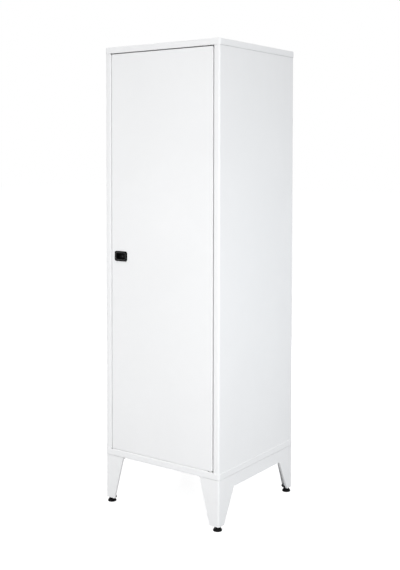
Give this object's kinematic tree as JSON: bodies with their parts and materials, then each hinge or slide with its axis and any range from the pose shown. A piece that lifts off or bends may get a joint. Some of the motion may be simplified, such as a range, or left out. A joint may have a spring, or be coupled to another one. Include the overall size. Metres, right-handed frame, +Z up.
{
  "type": "tool chest side locker",
  "caption": "Tall white steel tool locker with one flush hinged door, a black recessed turn latch driving locking rods, inner shelves and tapered legs on levelling feet.",
  "frame": {"origin": "on the floor, under the middle of the locker's footprint", "axes": "+Z up, the door faces -Y, its hinge side is towards +X"},
  "size_m": [0.5, 0.4916, 1.65],
  "materials": {
    "body_paint": "white powder coat with a faint orange peel, satin",
    "black_plastic": "black moulded plastic, fine texture",
    "zinc_steel": "zinc plated",
    "plug_metal": "dark plated, lightly scratched",
    "nylon": "white nylon",
    "black_steel": "black zinc plated",
    "rubber": "black rubber"
  },
  "bodies": {
    "cabinet": {"top_cap": "body_paint", "bottom_tray": "body_paint", "left_side_panel": "body_paint", "right_side_panel": "body_paint", "back_panel": "body_paint", "lintel_rail": "body_paint", "sill_rail": "body_paint", "floor_pan": "body_paint", "lower_shelf": "body_paint", "lower_shelf_rail_left": "body_paint", "lower_shelf_rail_right": "body_paint", "middle_shelf": "body_paint", "middle_shelf_rail_left": "body_paint", "middle_shelf_rail_right": "body_paint", "upper_shelf": "body_paint", "upper_shelf_rail_left": "body_paint", "upper_shelf_rail_right": "body_paint", "lower_pivot_bush": "nylon", "upper_pivot_bush": "black_plastic", "upper_door_bumper": "rubber", "lower_door_bumper": "rubber", "left_leg_frame": "body_paint", "right_leg_frame": "body_paint", "front_left_foot_plate": "black_steel", "front_left_foot_nut": "zinc_steel", "front_left_stand_bolt": "zinc_steel", "front_right_foot_plate": "black_steel", "front_right_foot_nut": "zinc_steel", "front_right_stand_bolt": "zinc_steel", "rear_left_foot_plate": "black_steel", "rear_left_foot_nut": "zinc_steel", "rear_left_stand_bolt": "zinc_steel", "rear_right_foot_plate": "black_steel", "rear_right_foot_nut": "zinc_steel", "rear_right_stand_bolt": "zinc_steel"},
    "door": {"door_skin": "body_paint", "door_stiffener": "body_paint", "lower_pivot_pin": "zinc_steel", "upper_pivot_pin": "zinc_steel", "lower_pivot_block": "zinc_steel", "upper_pivot_block": "zinc_steel", "lock_dish": "black_plastic", "lock_clamp": "zinc_steel", "lock_case": "zinc_steel", "upper_rod_guide": "nylon", "lower_rod_guide": "nylon"},
    "grip": {"lock_grip": "black_plastic", "lock_pinion": "zinc_steel"},
    "key_plug": {"key_plug": "plug_metal"},
    "upper_rod": {"upper_lock_rod": "zinc_steel"},
    "lower_rod": {"lower_lock_rod": "zinc_steel"},
    "front_left_foot": {"front_left_foot_pad": "black_plastic", "front_left_foot_stud": "black_steel"},
    "front_right_foot": {"front_right_foot_pad": "black_plastic", "front_right_foot_stud": "black_steel"},
    "rear_left_foot": {"rear_left_foot_pad": "black_plastic", "rear_left_foot_stud": "black_steel"},
    "rear_right_foot": {"rear_right_foot_pad": "black_plastic", "rear_right_foot_stud": "black_steel"}
  },
  "joints": [
    {"name": "door_hinge", "type": "hinge", "parent": "cabinet", "child": "door", "pos_m": [0.2108, -0.2366, 0.9125], "axis": [0, 0, 1], "range_deg": [0, 115]},
    {"name": "grip_turn", "type": "hinge", "parent": "door", "child": "grip", "pos_m": [-0.169, -0.2366, 0.903], "axis": [0, 1, 0], "range_deg": [0, 90]},
    {"name": "key_turn", "type": "hinge", "parent": "grip", "child": "key_plug", "pos_m": [-0.169, -0.2366, 0.903], "axis": [0, 1, 0], "range_deg": [0, 90]},
    {"name": "upper_rod_slide", "type": "slide", "parent": "door", "child": "upper_rod", "axis": [0, 0, 1], "range_m": [0, 0.0157]},
    {"name": "lower_rod_slide", "type": "slide", "parent": "door", "child": "lower_rod", "axis": [0, 0, -1], "range_m": [0, 0.01572]},
    {"name": "front_left_foot_screw", "type": "slide", "parent": "cabinet", "child": "front_left_foot", "axis": [0, 0, -1], "range_m": [0, 0.02]},
    {"name": "front_right_foot_screw", "type": "slide", "parent": "cabinet", "child": "front_right_foot", "axis": [0, 0, -1], "range_m": [0, 0.02]},
    {"name": "rear_left_foot_screw", "type": "slide", "parent": "cabinet", "child": "rear_left_foot", "axis": [0, 0, -1], "range_m": [0, 0.02]},
    {"name": "rear_right_foot_screw", "type": "slide", "parent": "cabinet", "child": "rear_right_foot", "axis": [0, 0, -1], "range_m": [0, 0.02]}
  ],
  "couplings": [
    {"joint": "grip_turn", "follows": "upper_rod_slide", "rad_per_m": 100},
    {"joint": "lower_rod_slide", "follows": "upper_rod_slide", "ratio": 1}
  ]
}
